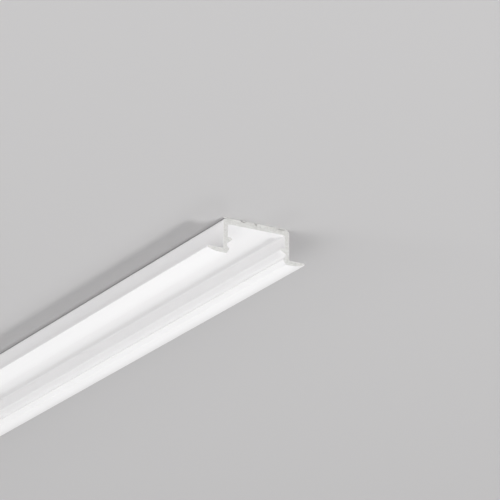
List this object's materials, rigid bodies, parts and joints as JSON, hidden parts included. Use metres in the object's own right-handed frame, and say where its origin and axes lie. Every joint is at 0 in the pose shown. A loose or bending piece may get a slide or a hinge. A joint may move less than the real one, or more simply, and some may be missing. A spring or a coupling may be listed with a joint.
{
  "type": "recessed led strip aluminium profile",
  "caption": "White recessed aluminium extrusion for an LED strip: a flat-bottomed channel with ribs and lips for a click-in cover and a tapered flange beside its mouth on each side.",
  "frame": {"origin": "middle of the back face, the face that lies against the ceiling or the bottom of the slot", "axes": "+Z out of the channel's mouth, Y along the bar with the near saw cut at -Y, X across the section"},
  "size_m": [0.0242, 0.5, 0.0079],
  "materials": {
    "powder_coat": "white satin powder coat over extruded aluminium, bare metal at the two saw cuts"
  },
  "bodies": {
    "root": {"profile": "powder_coat"}
  },
  "joints": []
}
